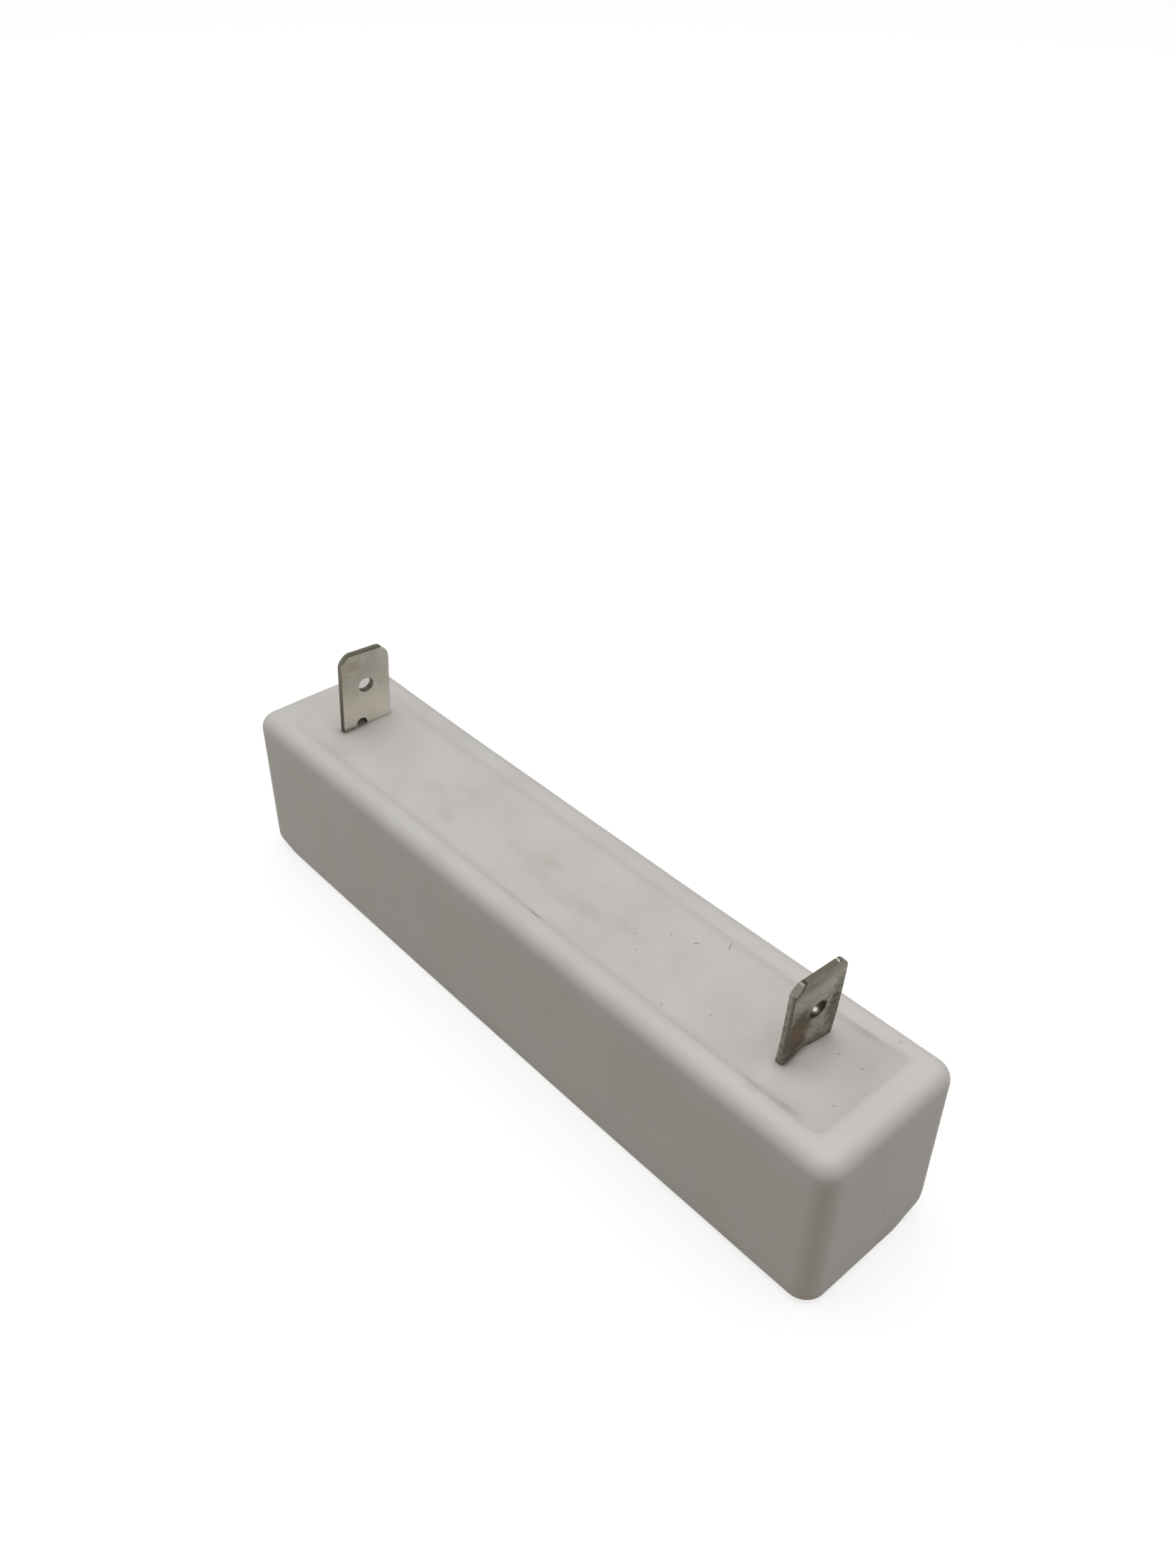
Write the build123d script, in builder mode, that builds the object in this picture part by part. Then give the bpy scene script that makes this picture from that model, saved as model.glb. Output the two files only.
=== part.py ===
"""Blower motor resistor: a wound element potted with cement in an open ceramic case.

Two tinned blade terminals are welded to the ends of the element and stand out of the cement.
Millimetres and degrees. X runs along the case, Y across it and Z up, and the origin is the
middle of the case's flat bottom.
"""
import os
from math import atan2, cos, pi, radians, sin, tan

from build123d import *

# Ceramic case: a pressed and fired boat, open on top
case_length = 90.0
case_width = 18.2
case_height = 19.2
long_wall = 3.1
end_wall = 4.5
floor_thickness = 3.2
case_corner_radius = 2.3
rim_radius = 1.5
rim_inner_bevel = 0.15
bottom_edge_radius = 0.5
trough_corner_radius = 1.4
trough_floor_bevel = 0.8
trough_draft_angle = 1.2

# Cement fill: how far it stays below the rim, and how it climbs the walls and the blades
fill_below_rim = 0.5
meniscus_rise = 0.4
meniscus_lip = 0.1
collar_width = 0.7
collar_rise = 0.3
collar_slope_angle = 60.0

# Wound element: its place in the trough and the cement left round it
element_end_cover = 6.5
element_shift = -1.2
element_side = 1.0
element_above_floor = 6.4
winding_cover = 0.67

# Resistance ribbon, whose end turns lie on the caps
ribbon_width = 2.6
ribbon_thickness = 0.3
ribbon_turns = 6
ribbon_on_cap = 3.6
ribbon_fit = 0.03
potting_fit = 0.06

# Drawn caps, pressed on the core's turned-down ends
cap_wall = 0.4
cap_depth = 5.0
cap_edge_bevel = 0.35
cap_fit = 0.02
seat_bevel = 0.5

# Blade terminals: a standard quick-connect blade on a round, welded foot
blade_width = 6.3
blade_thickness = 0.8
blade_above_fill = 10.85
blade_corner = 1.1
coin_run = 0.6
coin_depth = 0.2
detent_diameter = 1.85
detent_below_tip = 5.1
key_hole_diameter = 1.6
key_hole_above_fill = 0.6
key_hole_off_centre = 0.7
foot_overhang = 0.4
foot_neck_radius = 1.5
bend_above_axis = 5.2
bend_radius = 8.0
far_lean_angle = 4.2
near_lean_angle = 5.8
near_roll_angle = 3.0

# Sizes that follow from these
fill_height = case_height - fill_below_rim
trough_length = case_length - 2 * end_wall
trough_width = case_width - 2 * long_wall
trough_depth = case_height - floor_thickness
element_height = floor_thickness + element_above_floor
element_half = trough_length / 2 - element_end_cover
half_width_at_element = trough_width / 2 - (case_height - element_height) * tan(radians(trough_draft_angle))
winding_radius = half_width_at_element - element_side - winding_cover
core_radius = winding_radius - ribbon_thickness - ribbon_fit
cap_inner_radius = core_radius - cap_wall
foot_radius = core_radius + foot_overhang
fill_above_axis = fill_height - element_height
tip_above_axis = fill_above_axis + blade_above_fill

os.makedirs("parts", exist_ok=True)

# Planes of the element: one across its axis at its middle, and one along it, standing up
across = Plane(origin=(element_shift, element_side, element_height), x_dir=(0, 1, 0), z_dir=(1, 0, 0))
along = Plane(origin=across.origin, x_dir=(1, 0, 0), z_dir=(0, -1, 0))
element_axis = Axis(across.origin, (1, 0, 0))

# The trough that the case holds open and the cement fills
with BuildPart() as trough:
    with BuildSketch(Plane.XY.offset(case_height)):
        RectangleRounded(trough_length, trough_width, trough_corner_radius)
    extrude(amount=trough_floor_bevel - trough_depth, taper=trough_draft_angle)
    extrude(trough.faces().sort_by(Axis.Z)[0], amount=trough_floor_bevel, taper=45)

# Ceramic case
with BuildPart() as ceramic_case:
    with BuildSketch():
        RectangleRounded(case_length, case_width, case_corner_radius)
    extrude(amount=case_height)
    fillet(ceramic_case.faces().sort_by(Axis.Z)[-1].edges(), rim_radius)
    fillet(ceramic_case.faces().sort_by(Axis.Z)[0].edges(), bottom_edge_radius)
    add(trough.part, mode=Mode.SUBTRACT)
    rim = ceramic_case.faces().filter_by(Plane.XY).sort_by(Axis.Z)[-1]
    chamfer(rim.inner_wires()[0].edges(), rim_inner_bevel)

# Core rod, its ends turned down so that the caps sit flush with it
with BuildPart() as core_rod:
    core_half = element_half - cap_wall - cap_fit
    body_half = element_half - cap_depth - cap_fit
    with BuildSketch(across.offset(-core_half)):
        Circle(cap_inner_radius - cap_fit)
    extrude(amount=2 * core_half)
    chamfer(core_rod.faces().filter_by(Plane.YZ).edges(), seat_bevel)
    with BuildSketch(across.offset(-body_half)):
        Circle(core_radius)
    extrude(amount=2 * body_half)


def drawn_cap(end):
    """A drawn steel cup pressed on one end of the core: -1 is the far end, 1 the near one."""
    with BuildPart() as cap:
        with BuildSketch(along):
            with BuildLine():
                Polyline(
                    (end * element_half, 0),
                    (end * element_half, core_radius - cap_edge_bevel),
                    (end * (element_half - cap_edge_bevel), core_radius),
                    (end * (element_half - cap_depth), core_radius),
                    (end * (element_half - cap_depth), cap_inner_radius),
                    (end * (element_half - cap_wall), cap_inner_radius),
                    (end * (element_half - cap_wall), 0),
                    close=True,
                )
            make_face()
        revolve(axis=element_axis)
    return cap


end_cap_far = drawn_cap(-1)
end_cap_near = drawn_cap(1)

# Resistance ribbon: a flat strip wound in an open helix, from cap to cap, lying flat on the core
with BuildPart() as resistance_ribbon:
    middle_radius = winding_radius - ribbon_thickness / 2
    wound_length = 2 * (element_half - cap_depth + ribbon_on_cap) - ribbon_width
    winding_angle = atan2(wound_length, 2 * pi * middle_radius * ribbon_turns)
    winding_start = across.offset(-wound_length / 2)
    with BuildLine() as winding:
        Helix(
            pitch=wound_length / ribbon_turns,
            height=wound_length,
            radius=middle_radius,
            center=winding_start.origin,
            direction=winding_start.z_dir,
        )
    strip_start = winding.line @ 0
    outward = strip_start - winding_start.origin
    with BuildSketch(Plane(strip_start, x_dir=outward, z_dir=winding_start.z_dir.cross(outward))):
        Rectangle(ribbon_thickness, ribbon_width / cos(winding_angle))
    sweep(is_frenet=True)


def blade_terminal(end, lean_angle, roll_angle):
    """One stamped terminal: a round foot on the cap's end, a soft bend and a coined blade."""
    weld = across.offset(end * element_half).rotated((roll_angle, 0, 0))
    upright = Plane(origin=weld.origin, x_dir=weld.z_dir, z_dir=-weld.x_dir)
    lean_run = (tip_above_axis - bend_above_axis) * tan(radians(lean_angle))
    with BuildPart() as terminal:
        with BuildSketch(upright):
            with BuildLine():
                sheet = FilletPolyline(
                    (0, -foot_radius),
                    (0, bend_above_axis),
                    (lean_run, tip_above_axis),
                    radius=bend_radius,
                )
                offset(sheet, amount=blade_thickness, side=Side.LEFT if end < 0 else Side.RIGHT)
            make_face()
        extrude(amount=foot_radius, both=True)
        with BuildSketch(weld) as outline:
            with Locations((0, tip_above_axis / 2)):
                Rectangle(blade_width, tip_above_axis)
            chamfer(outline.vertices().sort_by(Axis.Y)[-2:], blade_corner)
            Circle(foot_radius)
            neck_corners = outline.vertices().sort_by(Axis.Y)[-6:-4]
            fillet(neck_corners, foot_neck_radius)
        extrude(amount=case_width, both=True, mode=Mode.INTERSECT)

        # The lead-in is coined on both faces, along the tip and its two corners
        for outer_face in (0, -1):
            broad = terminal.faces().sort_by(SortBy.AREA)[-2:].sort_by(Axis.X)[outer_face]
            chamfer(broad.edges().sort_by(Axis.Z)[-3:], coin_run, coin_depth, reference=broad)

        # Both holes are pierced square to the leaning blade
        up_blade = weld.y_dir * cos(radians(lean_angle)) + weld.z_dir * sin(radians(lean_angle))
        tip = weld.origin + weld.y_dir * tip_above_axis + weld.z_dir * lean_run
        blade_face = Plane(origin=tip, x_dir=weld.x_dir, z_dir=weld.x_dir.cross(up_blade))
        key_below_tip = (blade_above_fill - key_hole_above_fill) / cos(radians(lean_angle))
        with BuildSketch(blade_face):
            with Locations((0, -detent_below_tip)):
                Circle(detent_diameter / 2)
            with Locations((-key_hole_off_centre, -key_below_tip)):
                Circle(key_hole_diameter / 2)
        extrude(amount=2 * blade_thickness, both=True, mode=Mode.SUBTRACT)
    return terminal


terminal_far = blade_terminal(-1, far_lean_angle, 0)
terminal_near = blade_terminal(1, near_lean_angle, near_roll_angle)

# The shallow dish that the cement's surface makes below the rim, curling up at the walls
with BuildPart() as surface_dish:
    drawn_in = fill_below_rim * tan(radians(trough_draft_angle)) + meniscus_lip
    with BuildSketch(Plane.XY.offset(fill_height)):
        RectangleRounded(
            trough_length - 2 * drawn_in,
            trough_width - 2 * drawn_in,
            trough_corner_radius - drawn_in,
        )
    extrude(amount=case_height)
    fillet(surface_dish.faces().sort_by(Axis.Z)[0].edges(), meniscus_rise)

# Cement: the trough filled up to that dish, hollowed by everything that it holds
with BuildPart() as cement_fill:
    add(trough.part)
    with BuildSketch(Plane.XY.offset(fill_height + meniscus_rise)):
        Rectangle(case_length, case_width)
    extrude(amount=case_height, mode=Mode.SUBTRACT)
    add(surface_dish.part, mode=Mode.SUBTRACT)
    for end, lean_angle, roll_angle in ((-1, far_lean_angle, 0), (1, near_lean_angle, near_roll_angle)):
        blade_x = element_shift + end * (element_half + blade_thickness / 2)
        blade_x += (fill_above_axis - bend_above_axis) * tan(radians(lean_angle))
        blade_y = element_side - fill_above_axis * tan(radians(roll_angle))
        with BuildSketch(Plane.XY.offset(fill_height)):
            with Locations((blade_x, blade_y)):
                RectangleRounded(
                    blade_thickness + 2 * collar_width,
                    blade_width + 2 * collar_width,
                    collar_width,
                )
        extrude(amount=collar_rise, taper=collar_slope_angle)
    with BuildSketch(across.offset(-element_half)):
        Circle(core_radius + potting_fit)
    extrude(amount=2 * element_half, mode=Mode.SUBTRACT)
    for sealed_in in (resistance_ribbon, terminal_far, terminal_near):
        add(sealed_in.part, mode=Mode.SUBTRACT)

named_parts = {
    "ceramic_case": ceramic_case,
    "cement_fill": cement_fill,
    "core_rod": core_rod,
    "resistance_ribbon": resistance_ribbon,
    "end_cap_far": end_cap_far,
    "end_cap_near": end_cap_near,
    "terminal_far": terminal_far,
    "terminal_near": terminal_near,
}
for name, piece in named_parts.items():
    piece.part.label = name
    export_step(piece.part, f"parts/{name}.step")
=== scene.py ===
# %% [markdown]
# # Dressing a blower motor resistor
# The object is a wound resistor, sealed with cement in a white ceramic case. Two tinned blades stand out of
# the cement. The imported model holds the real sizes, and this lesson gives it its looks in Blender.
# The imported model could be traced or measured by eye. Here it is loaded as a fixed frame instead, because
# each new piece can then take its place and its sizes from it, and nothing has to be fitted afterwards.

from collections import namedtuple
from math import cos, exp, hypot, pi, radians, sin

import bmesh
import bpy
from mathutils import Matrix, Vector, noise


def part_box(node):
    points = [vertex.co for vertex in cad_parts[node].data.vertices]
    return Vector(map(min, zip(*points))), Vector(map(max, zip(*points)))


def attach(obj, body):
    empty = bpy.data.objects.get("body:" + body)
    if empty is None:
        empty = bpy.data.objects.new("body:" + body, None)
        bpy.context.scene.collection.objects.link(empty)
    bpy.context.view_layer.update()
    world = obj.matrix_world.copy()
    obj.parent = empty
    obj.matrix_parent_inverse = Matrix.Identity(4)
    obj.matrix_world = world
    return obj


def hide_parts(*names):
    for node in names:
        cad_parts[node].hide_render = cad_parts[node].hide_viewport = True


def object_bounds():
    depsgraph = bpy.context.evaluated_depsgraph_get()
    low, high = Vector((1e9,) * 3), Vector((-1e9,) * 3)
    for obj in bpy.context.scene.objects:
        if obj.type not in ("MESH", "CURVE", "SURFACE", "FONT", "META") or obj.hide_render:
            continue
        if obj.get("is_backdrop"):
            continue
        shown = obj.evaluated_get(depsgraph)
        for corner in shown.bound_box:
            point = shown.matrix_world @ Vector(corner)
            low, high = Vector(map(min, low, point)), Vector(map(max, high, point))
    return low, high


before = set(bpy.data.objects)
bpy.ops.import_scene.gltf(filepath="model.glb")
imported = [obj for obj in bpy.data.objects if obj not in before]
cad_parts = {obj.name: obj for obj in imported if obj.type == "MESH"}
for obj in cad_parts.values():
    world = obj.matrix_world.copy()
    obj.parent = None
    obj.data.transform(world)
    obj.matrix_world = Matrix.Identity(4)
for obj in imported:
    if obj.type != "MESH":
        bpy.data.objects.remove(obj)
cad_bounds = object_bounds()
MM = 0.001

# Points within a hair of each other count as one, and points within a thinner hair of a cut lie on it
HAIR = 0.001 * MM
CUT_HAIR = 0.1 * HAIR
case_low, case_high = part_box("ceramic_case")
case_size = case_high - case_low
print("Case, mm:", [round(side / MM, 2) for side in case_size])

# %% [markdown]
# ## The bow of the fired case
# A long ceramic boat bends a little as it is fired: its two ends stand almost half a millimetre higher than
# its middle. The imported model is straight, so that it rests flat and keeps its measures. Each visible piece
# is therefore modelled straight as well, and one function bends it at the end, the same for all of them.
# The mean lift is a third of the greatest, so the straight section is that much lower than the real case.

# %% One bow for every piece
bow_height = 0.45 * MM
section_height = case_size.z - bow_height / 3


def lift_at(x):
    """How far the fired case is lifted at that distance from its middle."""
    return bow_height * (2 * x / case_size.x) ** 2


def bow(shape):
    for vertex in shape.verts:
        vertex.co.z += lift_at(vertex.co.x)


print("Straight section, mm:", round(section_height / MM, 2))

# %% [markdown]
# ## Camera
# The picture to match was taken from close by, from above and from beside one end. A camera can be aimed
# with a constraint, but three turns say the same thing more plainly: round the upright axis, up from the
# floor, and a small roll. The lens is given for the tall frame, whose long side is the sensor's width.

# %% Camera at the picture's angle
eye = Vector((80.37, -68.78, 108.99)) * MM
camera_turn = radians(47.54)
camera_height_angle = radians(36.87)
camera_roll = radians(0.76)

lens = bpy.data.cameras.new("photo_camera")
lens.sensor_width = 36
lens.lens = 30.36
lens.clip_start = 0.005
camera = bpy.data.objects.new("photo_camera", lens)
bpy.context.scene.collection.objects.link(camera)
turned = Matrix.Rotation(camera_turn, 4, "Z") @ Matrix.Rotation(pi / 2 - camera_height_angle, 4, "X")
camera.matrix_world = Matrix.Translation(eye) @ turned @ Matrix.Rotation(camera_roll, 4, "Z")
bpy.context.scene.camera = camera
bpy.context.scene.view_settings.view_transform = "Standard"
print("Camera, m from the origin:", round(eye.length, 3))

# %% [markdown]
# ## Writing shader maths as Python
# A material is a tree of nodes, and a tree written node by node is hard to read. This class wraps one
# socket, so that an expression such as 1 - mask adds its own Math node. Every other node comes from one
# method, which takes the node's type, its settings, and the values or links of its sockets.

# %% A socket that can be calculated with
class Shade:
    """One output socket of a node tree."""

    def __init__(self, tree, socket=None):
        self.tree = tree
        self.socket = socket

    def node(self, kind, settings=None, inputs=None, output=0):
        """Adds a node: its settings first, then the values or links of its input sockets."""
        made = self.tree.nodes.new(kind)
        for name, value in (settings or {}).items():
            setattr(made, name, value)
        for name, value in (inputs or {}).items():
            if isinstance(value, Shade):
                self.tree.links.new(value.socket, made.inputs[name])
            else:
                made.inputs[name].default_value = value
        return Shade(self.tree, made.outputs[output] if made.outputs else None)

    def maths(self, operation, *values):
        return self.node("ShaderNodeMath", {"operation": operation}, dict(enumerate(values)))

    def __add__(self, other):
        return self.maths("ADD", self, other)

    def __sub__(self, other):
        return self.maths("SUBTRACT", self, other)

    def __rsub__(self, other):
        return self.maths("SUBTRACT", other, self)

    def __mul__(self, other):
        return self.maths("MULTIPLY", self, other)

    __radd__ = __add__
    __rmul__ = __mul__

    def rise(self, low, high):
        """0 at low, 1 at high and smooth between them, with low above high for a fall."""
        smooth = {"interpolation_type": "SMOOTHSTEP"}
        return self.node("ShaderNodeMapRange", smooth, {0: self, 1: low, 2: high})

    def most(self, other):
        return self.maths("MAXIMUM", self, other)

    def absolute(self):
        return self.maths("ABSOLUTE", self)


print("Shader maths is ready")

# %% [markdown]
# ## Colours and patterns
# Colours are written as they look on a screen, from 0 to 255, and are turned into the linear values that
# the shaders work with. A pattern could be laid on a UV map, but these shapes have none. The patterns read
# Object coordinates, in metres, so that they stay on the surface in every view and have a real size: a grain
# of 0.3 mm is 0.3 mm on every piece.

# %% Helpers for colours and patterns
def tone(red, green, blue):
    """A colour as a screen shows it, made linear."""
    shown = [value / 255 for value in (red, green, blue)]
    linear = [((s + 0.055) / 1.055) ** 2.4 if s > 0.04 else s / 12.92 for s in shown]
    return (*linear, 1)


def new_finish(name):
    """An empty material and the start of its node tree."""
    material = bpy.data.materials.new(name)
    material.use_nodes = True
    material.node_tree.nodes.clear()
    return material, Shade(material.node_tree)


def object_place(start):
    return start.node("ShaderNodeTexCoord", output="Object")


def grain(place, size, detail=2, roughness=0.5, distortion=0):
    """Soft random patches of about that size, from 0 to 1."""
    inputs = {
        "Vector": place,
        "Scale": 1 / size,
        "Detail": detail,
        "Roughness": roughness,
        "Distortion": distortion,
    }
    return place.node("ShaderNodeTexNoise", inputs=inputs)


def mix(factor, first, second):
    """The first colour where the factor is 0, the second where it is 1."""
    return factor.node("ShaderNodeMix", {"data_type": "RGBA"}, {0: factor, 6: first, 7: second}, 2)


def distance_to(place, point):
    return place.node("ShaderNodeVectorMath", {"operation": "DISTANCE"}, {0: place, 1: point}, 1)


def stretched(place, factors):
    """The same place with each of its three lengths multiplied."""
    return place.node("ShaderNodeVectorMath", {"operation": "MULTIPLY"}, {0: place, 1: factors})


def axis(place, name):
    return place.node("ShaderNodeSeparateXYZ", inputs={0: place}, output=name)


def bump(height, depth, strength=1.0):
    """Turns a height from 0 to 1 into small relief of that depth in metres."""
    return height.node("ShaderNodeBump", inputs={"Strength": strength, "Distance": depth, "Height": height})


def finish_with(start, shader):
    start.node("ShaderNodeOutputMaterial", inputs={"Surface": shader})


def solid_finish(start, colour, roughness, relief, metal=0):
    """Ends the tree of a finish that no light passes through."""
    inputs = {"Base Color": colour, "Metallic": metal, "Roughness": roughness, "Normal": relief}
    finish_with(start, start.node("ShaderNodeBsdfPrincipled", inputs=inputs))


print("Mid grey is", [round(c, 3) for c in tone(128, 128, 128)])

# %% [markdown]
# ## Studio
# The object lay on a plain pale sheet under a soft light from above. The floor could be lit until it is
# white, but then the pale case would burn out too. Instead the floor shows its white only to the camera and
# in reflections, and a part of that white still takes light, so the object keeps its shadow.

# %% Floor
floor_shape = bmesh.new()
bmesh.ops.create_grid(floor_shape, x_segments=1, y_segments=1, size=3)
floor_mesh = bpy.data.meshes.new("floor")
floor_shape.to_mesh(floor_mesh)
floor_shape.free()
floor = bpy.data.objects.new("floor", floor_mesh)
bpy.context.scene.collection.objects.link(floor)
floor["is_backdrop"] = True

floor_finish, start = new_finish("pale_sheet")
direct = start.node("ShaderNodeLightPath", output="Is Camera Ray")
glossy = start.node("ShaderNodeLightPath", output="Is Glossy Ray")
through = start.node("ShaderNodeLightPath", output="Is Transmission Ray")
seen = direct.most(glossy).most(through)
sheet = start.node("ShaderNodeBsdfDiffuse", inputs={"Color": tone(117, 113, 106)})
catching = start.node("ShaderNodeBsdfDiffuse", inputs={"Color": tone(170, 170, 170)})
glow = start.node("ShaderNodeEmission", inputs={"Color": (1, 1, 1, 1), "Strength": 0.72})
white = start.node("ShaderNodeAddShader", inputs={0: catching, 1: glow})
finish_with(start, start.node("ShaderNodeMixShader", inputs={0: seen, 1: sheet, 2: white}))
floor_mesh.materials.append(floor_finish)
print("Floor laid")

# %% World and lamps
world = bpy.data.worlds.new("studio")
bpy.context.scene.world = world
world.use_nodes = True
world.node_tree.nodes.clear()
start = Shade(world.node_tree)
seen = start.node("ShaderNodeLightPath", output="Is Camera Ray")
around = start.node("ShaderNodeTexCoord", output="Generated")
height = axis(around, "Z")
sky = mix(height.rise(-0.1, 0.9), tone(117, 112, 104), tone(226, 224, 222))
shown = mix(seen, sky, (1, 1, 1, 1))
level = seen + (1 - seen) * 0.93
background = start.node("ShaderNodeBackground", inputs={"Color": shown, "Strength": level})
start.node("ShaderNodeOutputWorld", inputs={"Surface": background})


def soft_lamp(name, place, width, watts, colour):
    """A round soft lamp that faces the object."""
    light = bpy.data.lights.new(name, "AREA")
    light.shape = "DISK"
    light.size = width
    light.energy = watts
    light.color = colour
    lamp = bpy.data.objects.new(name, light)
    bpy.context.scene.collection.objects.link(lamp)
    lamp.location = place
    lamp.rotation_euler = (-lamp.location).to_track_quat("-Z", "Y").to_euler()


soft_lamp("ceiling", (-0.08, 0.08, 0.7), 1.0, 2.0, (1, 0.99, 0.98))
soft_lamp("left_window", (-0.28, -0.25, 0.11), 0.25, 0.08, (1, 0.99, 0.97))
print("Lamps:", len(bpy.data.lights))

# %% [markdown]
# ## Fired ceramic
# The case is pressed from white clay and fired without a glaze, so it is matt, slightly warm and not quite
# even: soft clouds of tone, faint pink and olive tints, a fine grain and a few dark specks that burnt in
# the kiln. Its top is painted paler towards one end, and painted shade darkens its sides below the rim and
# its two upright edges at that end. A photo texture would freeze the light of one view into the surface.
# Noise of a real size keeps the unevenness free of any light.

# %% Ceramic finish
def spots(place, points, radius):
    """1 on small round spots at those points, fading to 0 at their radius."""
    mask = None
    for point in points:
        spot = distance_to(place, Vector(point) * MM).rise(radius, radius * 0.4)
        mask = mask.most(spot) if mask else spot
    return mask


def tinted(place, first, second, size):
    """Clouds between two tones, with faint pink and olive tints."""
    base = mix(grain(place, size, 3).rise(0.3, 0.7), first, second)
    pink = grain(place, size * 0.7, 2, distortion=0.4).rise(0.45, 0.75) * 0.3
    olive = grain(place, size * 0.55, 2, distortion=0.4).rise(0.45, 0.75) * 0.3
    rosy = mix(pink, base, tone(206, 200, 198))
    return mix(olive, rosy, tone(198, 199, 191))


ceramic_specks = [(5.75, -8.15, 18.95), (39.42, 7.1, 19.4), (39.42, 7.25, 19.4), (27.3, -9.1, 9.6)]
ceramic_specks += [(45, 0.5, 6.8), (45, 0.65, 6.6), (45, 0.8, 6.3)]


def fired_ceramic():
    material, start = new_finish("fired_ceramic")
    place = object_place(start)
    lengthwise = axis(place, "X")
    crosswise = axis(place, "Y")
    upward = axis(place, "Z")
    fine = grain(place, 0.3 * MM, 3)
    pores = place.node("ShaderNodeTexVoronoi", inputs={"Vector": place, "Scale": 1 / (1.1 * MM)})
    clouded = tinted(place, tone(200, 198, 196), tone(206, 205, 203), 9 * MM)
    on_top = upward.rise(17.4 * MM, 18.8 * MM)
    # Painted light: the top grows paler towards the near end
    painted_light_on_top = mix(lengthwise.rise(8 * MM, 42 * MM) * on_top * 0.7, clouded, tone(215, 211, 207))
    # Painted shade: below the rim the sides are darker and warmer
    with_painted_light = mix(upward.rise(18.2 * MM, 15 * MM) * 0.35, painted_light_on_top, tone(191, 184, 171))

    # Painted shade on the two upright edges at the near end, darker and warmer
    at_end = lengthwise.rise(42.9 * MM, 44.6 * MM)
    at_side = crosswise.absolute().rise(7 * MM, 8.9 * MM)
    below_rim = upward.rise(18.3 * MM, 16.9 * MM)
    brown_and_painted_shade = at_end * at_side * below_rim * (0.75 + 0.25 * grain(place, 3 * MM, 2))
    painted_corner_shade = mix(brown_and_painted_shade, with_painted_light, tone(187, 179, 167))

    # A film of cement that was wiped over the rim at that end, darker patches near the floor, and the burnt
    # specks
    wiped = lengthwise.rise(42 * MM, 40.9 * MM) * lengthwise.rise(38 * MM, 40 * MM)
    wiped = wiped * crosswise.absolute().rise(6.9 * MM, 6 * MM) * on_top
    smudges = spots(place, [(33.6, -6.6, 19.2), (34.2, -6.6, 19.2)], 0.7 * MM)
    filmed = mix((wiped * 0.6).most(smudges * 0.4), painted_corner_shade, tone(194, 189, 185))
    darker_patches = upward.rise(3 * MM, 0) * grain(place, 2.5 * MM, 3).rise(0.4, 0.8) * 0.35
    darker_near_floor = mix(darker_patches, filmed, tone(186, 178, 166))
    colour = mix(spots(place, ceramic_specks, 0.11 * MM), darker_near_floor, tone(92, 86, 80))

    pitted = pores.rise(0.16, 0.05) * fine.rise(0.5, 0.7)
    relief = bump(fine - pitted * 0.7, 0.012 * MM, 0.6)
    roughness = 0.46 + fine * 0.12 + darker_patches * 0.3
    solid_finish(start, colour, roughness, relief)
    return material


ceramic = fired_ceramic()
print("Finish:", ceramic.name)

# %% [markdown]
# ## Potting cement
# The cement is poured wet and sets with a skin that is a shade greyer than the case. Its marks are grey
# stains where water came up along the middle, dark grains that stayed in the mix, and a ring of dirt and
# painted contact shadow round each blade. Painted shade darkens the key holes, the tear, two dimples and
# the foot of the walls, and painted light brightens the cement round the near blade. The grains are drawn
# by the shader. The wide marks are stored on the vertices as an attribute, because Python can then place
# them by the same walls, blades and tear that shape the surface.

# %% Cement finish
cement_grains = [(12.9, -0.4), (14.6, -1.9), (15.3, 2.2), (17.8, 2.95), (17.9, 3.1), (18.0, 3.25)]
cement_grains += [(20.6, 4.9), (20.5, 5.1), (20.4, 5.3), (20.3, 5.5), (21.5, -5.3), (25.5, -2.8)]
cement_grains += [(36.4, 2.3), (39.0, 2.4), (40.0, -2.8)]


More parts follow.
